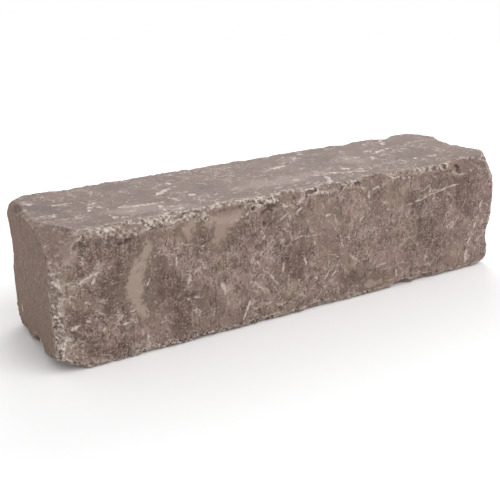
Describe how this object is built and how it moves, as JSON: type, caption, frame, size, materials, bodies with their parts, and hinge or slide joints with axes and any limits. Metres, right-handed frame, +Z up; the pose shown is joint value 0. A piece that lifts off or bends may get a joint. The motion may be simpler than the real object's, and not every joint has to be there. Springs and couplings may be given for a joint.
{
  "type": "concrete palisade post",
  "caption": "Tumbled concrete palisade post, a square-section block lying on a long side, with rounded broken arrises and knocked-off corners, for garden edging and steps.",
  "frame": {"origin": "middle of the bed face, the long side that the post lies on", "axes": "+X along the post from its near end to its far end, +Y from its front to its back, +Z up"},
  "size_m": [0.59, 0.146, 0.151],
  "materials": {
    "concrete": "matte, tumbled, mottled taupe"
  },
  "bodies": {
    "root": {"palisade_post": "concrete"}
  },
  "joints": []
}
